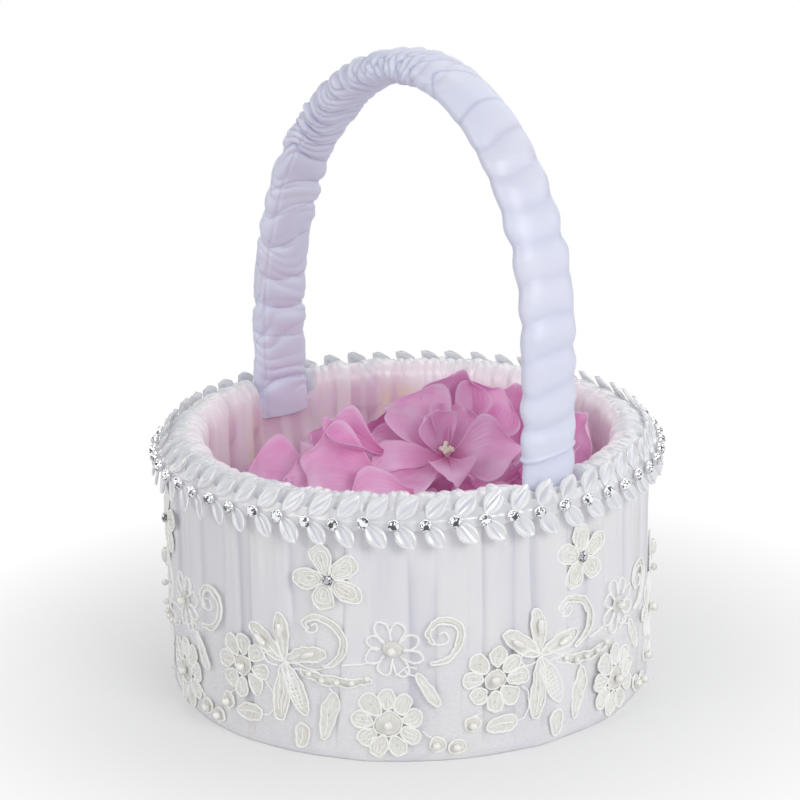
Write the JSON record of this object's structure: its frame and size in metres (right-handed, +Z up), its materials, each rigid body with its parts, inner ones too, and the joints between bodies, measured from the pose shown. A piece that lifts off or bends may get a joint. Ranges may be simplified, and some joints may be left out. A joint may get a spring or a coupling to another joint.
{
  "type": "flower girl basket",
  "caption": "Round satin-covered basket with a tall fixed arch handle, a leaf and crystal rim trim, a beaded lace border and loose silk petals inside.",
  "frame": {"origin": "centre of the underside, on the table the basket stands on", "axes": "+Z up; the handle's two legs stand on the X axis, the taller-springing leg at +X; Y runs across the handle"},
  "size_m": [0.1742, 0.1738, 0.2199],
  "materials": {
    "board_wood": "matte",
    "band_wood": "matte",
    "bow_wood": "satin",
    "steel": "satin",
    "wadding": "matte",
    "handle_satin": "satin",
    "cover_satin": "satin",
    "lining_satin": "satin",
    "roll_satin": "satin",
    "base_satin": "satin",
    "tape_white": "satin",
    "leaf_satin": "gloss",
    "silver": "polished",
    "crystal": "polished",
    "net_ivory": "matte",
    "lace_ivory": "matte",
    "pearl": "gloss",
    "grey_stone": "polished",
    "petal_pink": "satin",
    "stamen_white": "matte"
  },
  "bodies": {
    "basket": {"base_board": "board_wood", "wall_band": "band_wood", "base_hoop": "bow_wood", "inner_rim_hoop": "bow_wood", "outer_rim_hoop": "bow_wood", "base_tacks": "steel", "handle_bow": "bow_wood", "handle_rivets": "steel", "handle_padding": "wadding", "handle_sleeve": "handle_satin", "wall_padding": "wadding", "outer_cover": "cover_satin", "base_cover": "base_satin", "wall_lining": "lining_satin", "floor_pad": "lining_satin", "rim_roll": "roll_satin", "trim_tape": "tape_white", "upper_leaves": "leaf_satin", "lower_leaves": "leaf_satin", "stone_cups": "silver", "rim_stones": "crystal", "lace_net": "net_ivory", "lace_large_daisies": "lace_ivory", "lace_small_daisies": "lace_ivory", "lace_round_flowers": "lace_ivory", "lace_irises": "lace_ivory", "lace_leaves": "lace_ivory", "lace_scrolls": "lace_ivory", "lace_vines": "lace_ivory", "pearl_loops": "lace_ivory", "flower_pearls": "pearl", "loop_pearls": "pearl", "vine_pearls": "pearl", "rice_beads": "pearl", "applique_blossoms": "lace_ivory", "blossom_stones": "grey_stone"},
    "petals": {"petal_bed": "petal_pink", "loose_petals": "petal_pink", "silk_flower_layers": "petal_pink", "silk_stamens": "stamen_white"}
  },
  "joints": [
    {"name": "petals_lift", "type": "slide", "parent": "basket", "child": "petals", "axis": [0, 0, 1], "range_m": [0, 0.088]}
  ]
}
